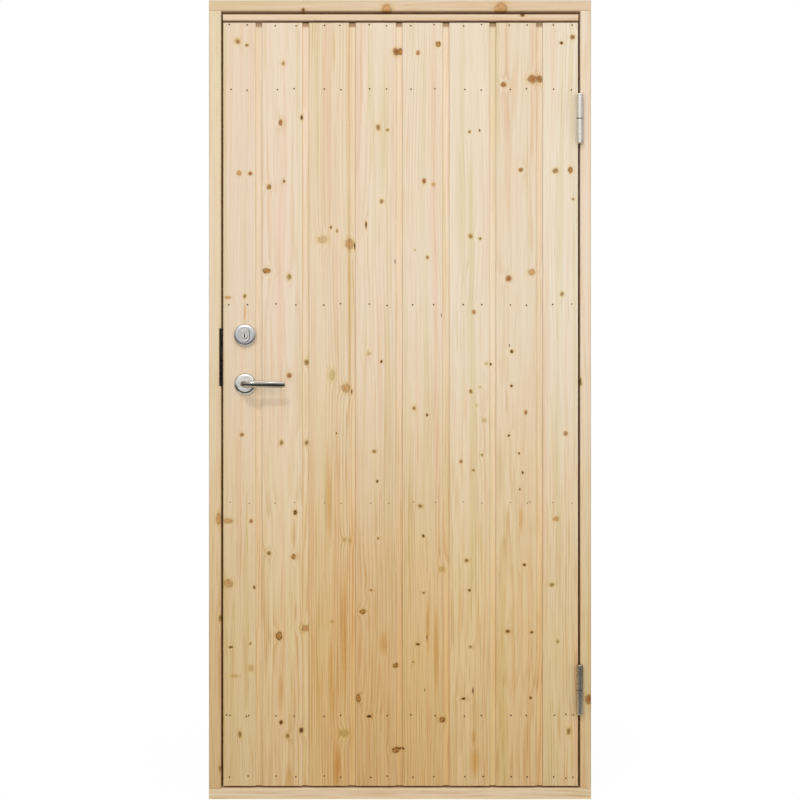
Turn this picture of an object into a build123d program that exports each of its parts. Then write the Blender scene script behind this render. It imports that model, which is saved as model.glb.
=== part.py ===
import os
from math import cos, sin, radians
from build123d import *

os.makedirs("parts", exist_ok=True)

# Overall size, mm. X runs along the door, Y from its outer face to its inner face, Z up.
FRAME_W = 890.0
FRAME_H = 1860.0
FRAME_D = 92.0
FRONT = -FRAME_D / 2
BACK = FRAME_D / 2

# Frame timbers: a lip beside the leaf and a deeper stop behind it.
LOCK_LIP = 28.0
HINGE_LIP = 25.0
JAMB_T = 42.0
HEAD_LIP = 25.0
HEAD_T = 42.0
SILL_LIP = 25.0
SILL_T = 42.0
ARRIS = 2.0

# Leaf: boards on a framed core, set back in the frame.
RECESS = 4.0
GAP = 5.0
BOARD_T = 18.0
CORE_T = 27.0
FACE = FRONT + RECESS
BOARD_BACK = FACE + BOARD_T
CORE_BACK = BOARD_BACK + CORE_T
STOP = CORE_BACK + GAP
LOCK_LIP_X = LOCK_LIP - FRAME_W / 2
HINGE_LIP_X = FRAME_W / 2 - HINGE_LIP
LEAF_L = LOCK_LIP_X + GAP
LEAF_R = HINGE_LIP_X - GAP
LEAF_BOTTOM = SILL_LIP + GAP
TOP_GAP = 8.0
LEAF_TOP = FRAME_H - HEAD_LIP - TOP_GAP
STRIP_H = 14.0
STRIP_T = 22.0
STRIP_CHAMFER = 1.5
SHADOW_GAP = 5.0
STRIP_BOTTOM = LEAF_TOP - STRIP_H
BOARD_TOP = STRIP_BOTTOM - SHADOW_GAP
EDGE_BACK_OFF = 3.0

# Board section: a lip that makes the channel floor, with a tongue in the next board's groove.
# The outer boards keep their width, and the six between them share the rest of the leaf.
FIRST_COVER = 83.0
LAST_COVER = 90.0
PITCH = (LEAF_R - LEAF_L - FIRST_COVER - LAST_COVER) / 6
CHANNEL_W = 15.0
CHANNEL_D = 5.0
TONGUE_T = 5.0
TONGUE_L = 7.0
TONGUE_BACK = 4.0
PLAY = 0.25
FACE_CHAMFER = 1.2

# Core timbers.
STILE_W = 95.0
TOP_RAIL_H = 186.0
BOTTOM_RAIL_H = 178.0
MID_RAIL_H = 95.0
UPPER_MID_Z = 1151.5
LOWER_MID_Z = 690.0
CORE_ARRIS = 1.5

# Lock and handle.
BACKSET = 51.5
LOCK_X = LEAF_L + BACKSET
SPINDLE_Z = 966.0
LOCK_CENTRES = 114.0
CYL_Z = SPINDLE_Z + LOCK_CENTRES
SPINDLE_W = 8.0
SPINDLE_HOLE_R = 11.0
CYL_HOLE_R = 18.0
ROSE_R = 26.0
ROSE_T = 9.0
ROSE_ROUND = 8.0
COLLAR_R = 26.0
COLLAR_T = 12.0
COLLAR_ROUND = 7.0
NECK_R = 8.0
NECK_PLAY = 0.08
NECK_IN = 2.0
LEVER_REACH = 96.0
LEVER_OUT = 48.0
LEVER_BEND = 15.0
LEVER_TIP_ROUND = 2.0
OVAL_W = 20.0
OVAL_H = 32.0
OVAL_PLAY = 0.2
OVAL_PROUD = 3.0
PLUG_R = 6.5
PLUG_DROP = 2.5
PLUG_PROUD = 1.5
KEYWAY_W = 2.0
KEYWAY_H = 9.0
KEYWAY_DEEP = 8.0
CASE_T = 16.0
CASE_MID = (BOARD_BACK + CORE_BACK) / 2
CASE_DEPTH = 72.0
CASE_BELOW = 26.0
CASE_ABOVE = 30.0
CASE_LO = SPINDLE_Z - CASE_BELOW
CASE_HI = CYL_Z + CASE_ABOVE
FOLLOWER_R = 8.0
FOREND_H = 235.0
FOREND_W = 22.0
FOREND_T = 3.0
FOREND_Z = (CASE_LO + CASE_HI) / 2
LATCH_RISE = 37.0
LATCH_Z = SPINDLE_Z + LATCH_RISE
LATCH_H = 16.0
LATCH_W = 10.0
LATCH_OUT = 4.0

# Strike in the lock jamb: a cut in the lip, a plate on its floor, and two bolt holes.
STRIKE_BELOW = 5.0
STRIKE_H = 135.0
STRIKE_LO = SPINDLE_Z - STRIKE_BELOW
STRIKE_HI = STRIKE_LO + STRIKE_H
STRIKE_CUT = 4.0
STRIKE_T = 2.0
STRIKE_BACK = 8.0
LATCH_HOLE_H = 46.0
HOOK_Z = LATCH_Z + 63.0
HOOK_HOLE_H = 28.0
BOLT_HOLE_W = 14.0
POCKET_PLAY = 2.0
POCKET_DEEP = 15.0

# Lift-off hinges.
PIN_X = LEAF_R + GAP / 2
BARREL_R = 7.8
PIN_Y = FRONT - BARREL_R - 0.5
PIN_R = 4.5
BORE_R = 4.58
PIN_L = 50.0
PIN_END = 1.0
HALF_H = 57.0
BARREL_ROUND = 2.0
CAP_GROOVE_H = 1.2
CAP_GROOVE_D = 0.6
CAP_H = 5.0
WASHER_T = 2.0
WASHER_IN = 0.6
WASHER_PLAY = 0.3
PLATE_T = 2.5
PLATE_IN = 32.0
PLATE_PLAY = 0.3
UPPER_DROP = 245.0
UPPER_Z = LEAF_TOP - UPPER_DROP
LOWER_RISE = 226.0
LOWER_Z = LEAF_BOTTOM + LOWER_RISE

# Holes for the screws that hold the frame in the wall.
SCREW_R = 7.0
SCREW_Y = (STOP + BACK) / 2
SCREW_IN = 330.0
SCREW_LO = SCREW_IN
SCREW_HI = FRAME_H - SCREW_IN


def block(x0, x1, y0, y1, z0, z1, mode=Mode.ADD):
    with Locations(((x0 + x1) / 2, (y0 + y1) / 2, (z0 + z1) / 2)):
        Box(x1 - x0, y1 - y0, z1 - z0, mode=mode)


def along_y(x, z, r, y0, y1, mode=Mode.ADD):
    with Locations(Location((x, (y0 + y1) / 2, z), (90, 0, 0))):
        Cylinder(r, y1 - y0, mode=mode)


def along_x(y, z, r, x0, x1, mode=Mode.ADD):
    with Locations(Location(((x0 + x1) / 2, y, z), (0, 90, 0))):
        Cylinder(r, x1 - x0, mode=mode)


def outline(points, z0, z1):
    with BuildSketch(Plane.XY.offset(z0)) as drawn:
        with BuildLine():
            Polyline(*points, close=True)
        make_face()
    extrude(drawn.sketch, amount=z1 - z0)


def oval(y0, y1, w, h, mode=Mode.ADD):
    plane = Plane(origin=(LOCK_X, y0, CYL_Z), x_dir=(1, 0, 0), z_dir=(0, 1, 0))
    with BuildSketch(plane) as drawn:
        SlotOverall(h, w, rotation=90)
    extrude(drawn.sketch, amount=y1 - y0, mode=mode)


# Jambs: the lip hides the leaf's edge gap, the stop is what the leaf closes against.
def jamb_section(s, lip):
    outer = s * FRAME_W / 2
    stop = s * (FRAME_W / 2 - JAMB_T)
    a = s * ARRIS
    points = [
        (outer - a, FRONT),
        (lip + a, FRONT),
        (lip, FRONT + ARRIS),
        (lip, STOP),
        (stop + a, STOP),
        (stop, STOP + ARRIS),
        (stop, BACK - ARRIS),
        (stop + a, BACK),
        (outer, BACK),
        (outer, FRONT + ARRIS),
    ]
    outline(points, SILL_LIP, FRAME_H - HEAD_LIP)
    inner = s * (FRAME_W / 2 - JAMB_T)
    for z in (SCREW_LO, SCREW_HI):
        along_x(SCREW_Y, z, SCREW_R, min(inner, outer) - 1, max(inner, outer) + 1, Mode.SUBTRACT)


with BuildPart() as hinge_jamb:
    jamb_section(1, HINGE_LIP_X)
    for joint_z in (UPPER_Z, LOWER_Z):
        block(
            HINGE_LIP_X - 1,
            HINGE_LIP_X + PLATE_T,
            FRONT - 1,
            FRONT + PLATE_IN,
            joint_z - WASHER_T / 2 - HALF_H,
            joint_z - WASHER_T / 2,
            Mode.SUBTRACT,
        )
hinge_jamb.part.label = "hinge_jamb"
export_step(hinge_jamb.part, "parts/hinge_jamb.step")

with BuildPart() as lock_jamb:
    jamb_section(-1, LOCK_LIP_X)
    floor_x = LOCK_LIP_X - STRIKE_CUT
    block(floor_x, LOCK_LIP_X + 1, FRONT - 1, STRIKE_BACK, STRIKE_LO, STRIKE_HI, Mode.SUBTRACT)
    half_w = BOLT_HOLE_W / 2 + POCKET_PLAY
    for z, h in ((LATCH_Z, LATCH_HOLE_H), (HOOK_Z, HOOK_HOLE_H)):
        half_h = h / 2 + POCKET_PLAY
        block(
            floor_x - POCKET_DEEP,
            floor_x + 1,
            CASE_MID - half_w,
            CASE_MID + half_w,
            z - half_h,
            z + half_h,
            Mode.SUBTRACT,
        )
lock_jamb.part.label = "lock_jamb"
export_step(lock_jamb.part, "parts/lock_jamb.step")

# Head and sill run the full width, over and under the jambs.
STOP_X = FRAME_W / 2 - JAMB_T

with BuildPart() as head:
    block(-FRAME_W / 2, FRAME_W / 2, FRONT, BACK, FRAME_H - HEAD_LIP, FRAME_H)
    block(-STOP_X, STOP_X, STOP, BACK, FRAME_H - HEAD_T, FRAME_H - HEAD_LIP)
    front_edges = head.edges().filter_by(Axis.X).group_by(Axis.Y)[0]
    chamfer(front_edges, ARRIS)
head.part.label = "head"
export_step(head.part, "parts/head.step")

with BuildPart() as sill:
    block(-FRAME_W / 2, FRAME_W / 2, FRONT, BACK, 0, SILL_LIP)
    block(-STOP_X, STOP_X, STOP, BACK, SILL_LIP, SILL_T)
    front_top = sill.edges().filter_by(Axis.X).group_by(Axis.Y)[0].sort_by(Axis.Z)[-1]
    chamfer(front_top, ARRIS)
sill.part.label = "sill"
export_step(sill.part, "parts/sill.step")

# Strike plate: lies on the floor of the cut in the lock jamb, with two bolt holes.
with BuildPart() as strike_plate:
    floor_x = LOCK_LIP_X - STRIKE_CUT
    block(floor_x, floor_x + STRIKE_T, FRONT, STRIKE_BACK, STRIKE_LO, STRIKE_HI)
    half_w = BOLT_HOLE_W / 2
    for z, h in ((LATCH_Z, LATCH_HOLE_H), (HOOK_Z, HOOK_HOLE_H)):
        block(
            floor_x - 1,
            floor_x + STRIKE_T + 1,
            CASE_MID - half_w,
            CASE_MID + half_w,
            z - h / 2,
            z + h / 2,
            Mode.SUBTRACT,
        )
strike_plate.part.label = "strike_plate"
export_step(strike_plate.part, "parts/strike_plate.step")


# Hinges: the frame half carries the pin, the leaf half drops over it.
def frame_half(joint_z):
    top = joint_z - WASHER_T / 2
    bottom = top - HALF_H
    with Locations((PIN_X, PIN_Y, top - HALF_H / 2)):
        Cylinder(BARREL_R, HALF_H)
    rim = faces().filter_by(Axis.Z).sort_by(Axis.Z)[0].edges()
    fillet(rim, BARREL_ROUND)
    with Locations((PIN_X, PIN_Y, bottom + CAP_H)):
        Cylinder(BARREL_R + 1, CAP_GROOVE_H, mode=Mode.SUBTRACT)
        Cylinder(BARREL_R - CAP_GROOVE_D, CAP_GROOVE_H)
    block(
        HINGE_LIP_X,
        HINGE_LIP_X + PLATE_T,
        PIN_Y,
        FRONT + PLATE_IN - PLATE_PLAY,
        bottom + PLATE_PLAY,
        top - PLATE_PLAY,
    )
    with Locations((PIN_X, PIN_Y, top + PIN_L / 2)):
        Cylinder(PIN_R, PIN_L)
    tip = faces().filter_by(Axis.Z).sort_by(Axis.Z)[-1].edges()
    chamfer(tip, PIN_END)


def leaf_half(joint_z):
    bottom = joint_z + WASHER_T / 2 + WASHER_PLAY
    with Locations((PIN_X, PIN_Y, bottom + HALF_H / 2)):
        Cylinder(BARREL_R, HALF_H)
    top = bottom + HALF_H
    rim = faces().filter_by(Axis.Z).sort_by(Axis.Z)[-1].edges()
    fillet(rim, BARREL_ROUND)
    with Locations((PIN_X, PIN_Y, top - CAP_H)):
        Cylinder(BARREL_R + 1, CAP_GROOVE_H, mode=Mode.SUBTRACT)
        Cylinder(BARREL_R - CAP_GROOVE_D, CAP_GROOVE_H)
    block(
        LEAF_R - PLATE_T,
        LEAF_R,
        PIN_Y,
        FACE + PLATE_IN - PLATE_PLAY,
        bottom + PLATE_PLAY,
        top - PLATE_PLAY,
    )
    with Locations((PIN_X, PIN_Y, bottom + PIN_L / 2)):
        Cylinder(BORE_R, PIN_L, mode=Mode.SUBTRACT)


def hinge_washer(joint_z):
    with Locations((PIN_X, PIN_Y, joint_z)):
        Cylinder(BARREL_R - WASHER_IN, WASHER_T)
        Cylinder(BORE_R, WASHER_T, mode=Mode.SUBTRACT)


with BuildPart() as upper_hinge_frame_half:
    frame_half(UPPER_Z)
upper_hinge_frame_half.part.label = "upper_hinge_frame_half"
export_step(upper_hinge_frame_half.part, "parts/upper_hinge_frame_half.step")

with BuildPart() as lower_hinge_frame_half:
    frame_half(LOWER_Z)
lower_hinge_frame_half.part.label = "lower_hinge_frame_half"
export_step(lower_hinge_frame_half.part, "parts/lower_hinge_frame_half.step")

with BuildPart() as upper_hinge_washer:
    hinge_washer(UPPER_Z)
upper_hinge_washer.part.label = "upper_hinge_washer"
export_step(upper_hinge_washer.part, "parts/upper_hinge_washer.step")

with BuildPart() as lower_hinge_washer:
    hinge_washer(LOWER_Z)
lower_hinge_washer.part.label = "lower_hinge_washer"
export_step(lower_hinge_washer.part, "parts/lower_hinge_washer.step")

with BuildPart() as upper_hinge_leaf_half:
    leaf_half(UPPER_Z)
upper_hinge_leaf_half.part.label = "upper_hinge_leaf_half"
export_step(upper_hinge_leaf_half.part, "parts/upper_hinge_leaf_half.step")

with BuildPart() as lower_hinge_leaf_half:
    leaf_half(LOWER_Z)
lower_hinge_leaf_half.part.label = "lower_hinge_leaf_half"
export_step(lower_hinge_leaf_half.part, "parts/lower_hinge_leaf_half.step")


# Boards: each one's lip is the channel floor on its right, and its tongue sits in the next board.
def channel(n):
    return LEAF_L + FIRST_COVER + (n - 1) * PITCH


def board_section(n):
    c = FACE_CHAMFER
    g1 = BOARD_BACK - TONGUE_BACK
    g0 = g1 - TONGUE_T
    points = []
    if n == 1:
        points += [(LEAF_L, BOARD_BACK), (LEAF_L, FACE + c), (LEAF_L + c, FACE)]
    else:
        face_l = channel(n - 1) + CHANNEL_W / 2
        groove_x = face_l + TONGUE_L + PLAY
        points += [
            (face_l, BOARD_BACK),
            (face_l, g1 + PLAY),
            (groove_x, g1 + PLAY),
            (groove_x, g0 - PLAY),
            (face_l, g0 - PLAY),
            (face_l, FACE + c),
            (face_l + c, FACE),
        ]
    if n == 8:
        points += [(LEAF_R - c, FACE), (LEAF_R, FACE + c), (LEAF_R, BOARD_BACK)]
    else:
        face_r = channel(n) - CHANNEL_W / 2
        lip_r = channel(n) + CHANNEL_W / 2 - PLAY
        points += [
            (face_r - c, FACE),
            (face_r, FACE + c),
            (face_r, FACE + CHANNEL_D),
            (lip_r, FACE + CHANNEL_D),
            (lip_r, g0),
            (lip_r + TONGUE_L, g0),
            (lip_r + TONGUE_L, g1),
            (lip_r, g1),
            (lip_r, BOARD_BACK),
        ]
    outline(points, LEAF_BOTTOM, BOARD_TOP)


with BuildPart() as board_1:
    board_section(1)
    along_y(LOCK_X, SPINDLE_Z, SPINDLE_HOLE_R, FACE - 1, BOARD_BACK + 1, Mode.SUBTRACT)
    along_y(LOCK_X, CYL_Z, CYL_HOLE_R, FACE - 1, BOARD_BACK + 1, Mode.SUBTRACT)
board_1.part.label = "board_1"
export_step(board_1.part, "parts/board_1.step")

with BuildPart() as board_2:
    board_section(2)
board_2.part.label = "board_2"
export_step(board_2.part, "parts/board_2.step")

with BuildPart() as board_3:
    board_section(3)
board_3.part.label = "board_3"
export_step(board_3.part, "parts/board_3.step")

with BuildPart() as board_4:
    board_section(4)
board_4.part.label = "board_4"
export_step(board_4.part, "parts/board_4.step")

with BuildPart() as board_5:
    board_section(5)
board_5.part.label = "board_5"
export_step(board_5.part, "parts/board_5.step")

with BuildPart() as board_6:
    board_section(6)
board_6.part.label = "board_6"
export_step(board_6.part, "parts/board_6.step")

with BuildPart() as board_7:
    board_section(7)
board_7.part.label = "board_7"
export_step(board_7.part, "parts/board_7.step")


def leaf_plate_pocket(y0, y1):
    for joint_z in (UPPER_Z, LOWER_Z):
        bottom = joint_z + WASHER_T / 2 + WASHER_PLAY
        block(LEAF_R - PLATE_T, LEAF_R + 1, y0, y1, bottom, bottom + HALF_H, Mode.SUBTRACT)


with BuildPart() as board_8:
    board_section(8)
    leaf_plate_pocket(FACE - 1, BOARD_BACK + 1)
board_8.part.label = "board_8"
export_step(board_8.part, "parts/board_8.step")

# Top strip: a lath over the board ends, a little proud of them.
with BuildPart() as top_strip:
    block(LEAF_L, LEAF_R, BOARD_BACK - STRIP_T, BOARD_BACK, STRIP_BOTTOM, LEAF_TOP)
    strip_front = top_strip.edges().filter_by(Axis.X).group_by(Axis.Y)[0]
    chamfer(strip_front, STRIP_CHAMFER)
top_strip.part.label = "top_strip"
export_step(top_strip.part, "parts/top_strip.step")

# Core: two stiles with four rails between them.
LOCK_EDGE = LEAF_L + EDGE_BACK_OFF
LOCK_STILE_R = LOCK_EDGE + STILE_W
HINGE_STILE_L = LEAF_R - STILE_W

with BuildPart() as lock_stile:
    block(LOCK_EDGE, LOCK_STILE_R, BOARD_BACK, CORE_BACK, LEAF_BOTTOM, LEAF_TOP)
    chamfer(edges().filter_by(Axis.Z).group_by(Axis.Y)[-1], CORE_ARRIS)
    block(
        LOCK_EDGE - 1,
        LOCK_EDGE + FOREND_T,
        CASE_MID - FOREND_W / 2,
        CASE_MID + FOREND_W / 2,
        FOREND_Z - FOREND_H / 2,
        FOREND_Z + FOREND_H / 2,
        Mode.SUBTRACT,
    )
    block(
        LOCK_EDGE,
        LOCK_EDGE + FOREND_T + CASE_DEPTH,
        CASE_MID - CASE_T / 2,
        CASE_MID + CASE_T / 2,
        CASE_LO,
        CASE_HI,
        Mode.SUBTRACT,
    )
    along_y(LOCK_X, SPINDLE_Z, SPINDLE_HOLE_R, BOARD_BACK - 1, CORE_BACK + 1, Mode.SUBTRACT)
    along_y(LOCK_X, CYL_Z, CYL_HOLE_R, BOARD_BACK - 1, CORE_BACK + 1, Mode.SUBTRACT)
lock_stile.part.label = "lock_stile"
export_step(lock_stile.part, "parts/lock_stile.step")

with BuildPart() as hinge_stile:
    block(HINGE_STILE_L, LEAF_R, BOARD_BACK, CORE_BACK, LEAF_BOTTOM, LEAF_TOP)
    chamfer(edges().filter_by(Axis.Z).group_by(Axis.Y)[-1], CORE_ARRIS)
    leaf_plate_pocket(BOARD_BACK - 1, FACE + PLATE_IN)
hinge_stile.part.label = "hinge_stile"
export_step(hinge_stile.part, "parts/hinge_stile.step")

with BuildPart() as top_rail:
    block(LOCK_STILE_R, HINGE_STILE_L, BOARD_BACK, CORE_BACK, LEAF_TOP - TOP_RAIL_H, LEAF_TOP)
    chamfer(edges().filter_by(Axis.X).group_by(Axis.Y)[-1], CORE_ARRIS)
top_rail.part.label = "top_rail"
export_step(top_rail.part, "parts/top_rail.step")

with BuildPart() as upper_mid_rail:
    block(
        LOCK_STILE_R,
        HINGE_STILE_L,
        BOARD_BACK,
        CORE_BACK,
        UPPER_MID_Z - MID_RAIL_H / 2,
        UPPER_MID_Z + MID_RAIL_H / 2,
    )
    chamfer(edges().filter_by(Axis.X).group_by(Axis.Y)[-1], CORE_ARRIS)
upper_mid_rail.part.label = "upper_mid_rail"
export_step(upper_mid_rail.part, "parts/upper_mid_rail.step")

with BuildPart() as lower_mid_rail:
    block(
        LOCK_STILE_R,
        HINGE_STILE_L,
        BOARD_BACK,
        CORE_BACK,
        LOWER_MID_Z - MID_RAIL_H / 2,
        LOWER_MID_Z + MID_RAIL_H / 2,
    )
    chamfer(edges().filter_by(Axis.X).group_by(Axis.Y)[-1], CORE_ARRIS)
lower_mid_rail.part.label = "lower_mid_rail"
export_step(lower_mid_rail.part, "parts/lower_mid_rail.step")

with BuildPart() as bottom_rail:
    block(LOCK_STILE_R, HINGE_STILE_L, BOARD_BACK, CORE_BACK, LEAF_BOTTOM, LEAF_BOTTOM + BOTTOM_RAIL_H)
    chamfer(edges().filter_by(Axis.X).group_by(Axis.Y)[-1], CORE_ARRIS)
bottom_rail.part.label = "bottom_rail"
export_step(bottom_rail.part, "parts/bottom_rail.step")

# Lock case: forend let into the edge, case in the stile, latch nose drawn back.
with BuildPart() as lock_case:
    block(
        LOCK_EDGE,
        LOCK_EDGE + FOREND_T,
        CASE_MID - FOREND_W / 2,
        CASE_MID + FOREND_W / 2,
        FOREND_Z - FOREND_H / 2,
        FOREND_Z + FOREND_H / 2,
    )
    block(
        LOCK_EDGE + FOREND_T,
        LOCK_EDGE + FOREND_T + CASE_DEPTH,
        CASE_MID - CASE_T / 2,
        CASE_MID + CASE_T / 2,
        CASE_LO,
        CASE_HI,
    )
    block(
        LOCK_EDGE - LATCH_OUT,
        LOCK_EDGE,
        CASE_MID - LATCH_W / 2,
        CASE_MID + LATCH_W / 2,
        LATCH_Z - LATCH_H / 2,
        LATCH_Z + LATCH_H / 2,
    )
    nose = edges().filter_by(Axis.Z).group_by(Axis.X)[0].sort_by(Axis.Y)[-1]
    chamfer(nose, LATCH_OUT * 0.9)
    along_y(LOCK_X, SPINDLE_Z, FOLLOWER_R, CASE_MID - CASE_T, CASE_MID + CASE_T, Mode.SUBTRACT)
lock_case.part.label = "lock_case"
export_step(lock_case.part, "parts/lock_case.step")


# Roses and collars: turned covers on both faces of the leaf.
def turned(face_y, out, radius, thick, edge, z):
    plane = Plane(origin=(LOCK_X, face_y, z), x_dir=(1, 0, 0), z_dir=(0, out, 0))
    with BuildSketch(plane) as drawn:
        Circle(radius)
    extrude(drawn.sketch, amount=thick)
    rim = edges().filter_by(GeomType.CIRCLE).sort_by(Axis.Y)
    rim = rim[-1] if out > 0 else rim[0]
    fillet(rim, edge)


with BuildPart() as outside_rose:
    turned(FACE, -1, ROSE_R, ROSE_T, ROSE_ROUND, SPINDLE_Z)
    along_y(LOCK_X, SPINDLE_Z, NECK_R + NECK_PLAY, FACE - ROSE_T - 1, FACE + 1, Mode.SUBTRACT)
outside_rose.part.label = "outside_rose"
export_step(outside_rose.part, "parts/outside_rose.step")

with BuildPart() as inside_rose:
    turned(CORE_BACK, 1, ROSE_R, ROSE_T, ROSE_ROUND, SPINDLE_Z)
    along_y(LOCK_X, SPINDLE_Z, NECK_R + NECK_PLAY, CORE_BACK - 1, CORE_BACK + ROSE_T + 1, Mode.SUBTRACT)
inside_rose.part.label = "inside_rose"
export_step(inside_rose.part, "parts/inside_rose.step")

with BuildPart() as outside_collar:
    turned(FACE, -1, COLLAR_R, COLLAR_T, COLLAR_ROUND, CYL_Z)
    oval(FACE - COLLAR_T - 1, FACE + 1, OVAL_W + 2 * OVAL_PLAY, OVAL_H + 2 * OVAL_PLAY, Mode.SUBTRACT)
outside_collar.part.label = "outside_collar"
export_step(outside_collar.part, "parts/outside_collar.step")

with BuildPart() as inside_collar:
    turned(CORE_BACK, 1, COLLAR_R, COLLAR_T, COLLAR_ROUND, CYL_Z)
    oval(CORE_BACK - 1, CORE_BACK + COLLAR_T + 1, OVAL_W + 2 * OVAL_PLAY, OVAL_H + 2 * OVAL_PLAY, Mode.SUBTRACT)
inside_collar.part.label = "inside_collar"
export_step(inside_collar.part, "parts/inside_collar.step")

PLUG_Z = CYL_Z - PLUG_DROP


# Cylinders: an oval body through the collar, with a round plug and its keyway.
def cylinder_face(end_y, out):
    plug_y = end_y + out * PLUG_PROUD
    along_y(LOCK_X, PLUG_Z, PLUG_R, min(end_y - out, plug_y), max(end_y - out, plug_y))
    deep_y = plug_y - out * KEYWAY_DEEP
    over_y = plug_y + out
    block(
        LOCK_X - KEYWAY_W / 2,
        LOCK_X + KEYWAY_W / 2,
        min(deep_y, over_y),
        max(deep_y, over_y),
        PLUG_Z - KEYWAY_H / 2,
        PLUG_Z + KEYWAY_H / 2,
        Mode.SUBTRACT,
    )


with BuildPart() as outside_cylinder:
    outside_end = FACE - COLLAR_T - OVAL_PROUD
    oval(outside_end, CASE_MID - CASE_T / 2, OVAL_W, OVAL_H)
    cylinder_face(outside_end, -1)
outside_cylinder.part.label = "outside_cylinder"
export_step(outside_cylinder.part, "parts/outside_cylinder.step")

with BuildPart() as inside_cylinder:
    inside_end = CORE_BACK + COLLAR_T + OVAL_PROUD
    oval(CASE_MID + CASE_T / 2, inside_end, OVAL_W, OVAL_H)
    cylinder_face(inside_end, 1)
inside_cylinder.part.label = "inside_cylinder"
export_step(inside_cylinder.part, "parts/inside_cylinder.step")


# Levers: a round neck in the rose, a bend, and a flat grip tilted a little down to a rounded tip.
# Each station on the grip: share of the way, shift to the leaf, drop, half depth, half height, tilt.
GRIP = (
    (0.0, 0.0, 0.0, NECK_R, NECK_R, 0.0),
    (0.30, 0.0, 0.6, 6.6, 7.9, 10.0),
    (0.65, 1.5, 1.2, 5.6, 7.8, 16.0),
    (0.92, 3.4, 1.7, 5.0, 7.0, 16.0),
    (1.0, 4.0, 1.8, 3.6, 5.0, 16.0),
)


def lever(face_y, out):
    neck_in = face_y - out * NECK_IN
    bend_y = face_y + out * (LEVER_OUT - LEVER_BEND)
    grip_y = face_y + out * LEVER_OUT
    along_y(LOCK_X, SPINDLE_Z, NECK_R, min(neck_in, bend_y), max(neck_in, bend_y))
    start = (LOCK_X, bend_y, SPINDLE_Z)
    middle = (
        LOCK_X + LEVER_BEND * (1 - cos(radians(45))),
        bend_y + out * LEVER_BEND * sin(radians(45)),
        SPINDLE_Z,
    )
    finish = (LOCK_X + LEVER_BEND, grip_y, SPINDLE_Z)
    with BuildLine() as path:
        ThreePointArc(start, middle, finish)
    with BuildSketch(Plane(origin=start, x_dir=(1, 0, 0), z_dir=(0, out, 0))) as round_neck:
        Circle(NECK_R)
    sweep(round_neck.sketch, path=path.line)
    rounds = []
    for share, shift, drop, deep, tall, tilt in GRIP:
        reach = LEVER_BEND + share * (LEVER_REACH - LEVER_BEND)
        centre = (LOCK_X + reach, grip_y - out * shift, SPINDLE_Z - drop)
        with BuildSketch(Plane(origin=centre, x_dir=(0, 1, 0), z_dir=(1, 0, 0))) as drawn:
            Ellipse(deep, tall, rotation=-out * tilt)
        rounds.append(drawn.sketch.face())
    loft(rounds)
    tip = faces().sort_by(Axis.X)[-1].edges()
    fillet(tip, LEVER_TIP_ROUND)


with BuildPart() as outside_lever:
    lever(FACE, -1)
outside_lever.part.label = "outside_lever"
export_step(outside_lever.part, "parts/outside_lever.step")

with BuildPart() as inside_lever:
    lever(CORE_BACK, 1)
inside_lever.part.label = "inside_lever"
export_step(inside_lever.part, "parts/inside_lever.step")

with BuildPart() as spindle:
    block(
        LOCK_X - SPINDLE_W / 2,
        LOCK_X + SPINDLE_W / 2,
        FACE + NECK_IN,
        CORE_BACK - NECK_IN,
        SPINDLE_Z - SPINDLE_W / 2,
        SPINDLE_Z + SPINDLE_W / 2,
    )
spindle.part.label = "spindle"
export_step(spindle.part, "parts/spindle.step")
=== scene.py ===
import math
import random

import bmesh
import bpy
from mathutils import Matrix, Vector


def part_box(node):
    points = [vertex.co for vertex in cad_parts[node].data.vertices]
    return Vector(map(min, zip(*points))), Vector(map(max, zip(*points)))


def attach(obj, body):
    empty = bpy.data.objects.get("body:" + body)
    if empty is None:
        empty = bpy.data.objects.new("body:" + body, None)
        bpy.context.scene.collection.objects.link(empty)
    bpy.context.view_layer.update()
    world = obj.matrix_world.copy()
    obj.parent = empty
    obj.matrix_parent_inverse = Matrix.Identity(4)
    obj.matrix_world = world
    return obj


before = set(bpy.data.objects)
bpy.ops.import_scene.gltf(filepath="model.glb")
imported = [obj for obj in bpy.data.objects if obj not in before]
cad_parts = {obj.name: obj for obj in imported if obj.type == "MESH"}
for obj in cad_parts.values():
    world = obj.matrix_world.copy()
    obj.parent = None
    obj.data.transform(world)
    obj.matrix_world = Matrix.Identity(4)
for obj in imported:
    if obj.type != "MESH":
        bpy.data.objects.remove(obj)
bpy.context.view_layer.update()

# Door frame: two jambs, a head and a sill of planed, untreated pine.
# Each timber is sawn lengthwise from a small log, so its year rings run with it
# and its branches show as knots; head and sill lie over and under the jambs.


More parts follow.
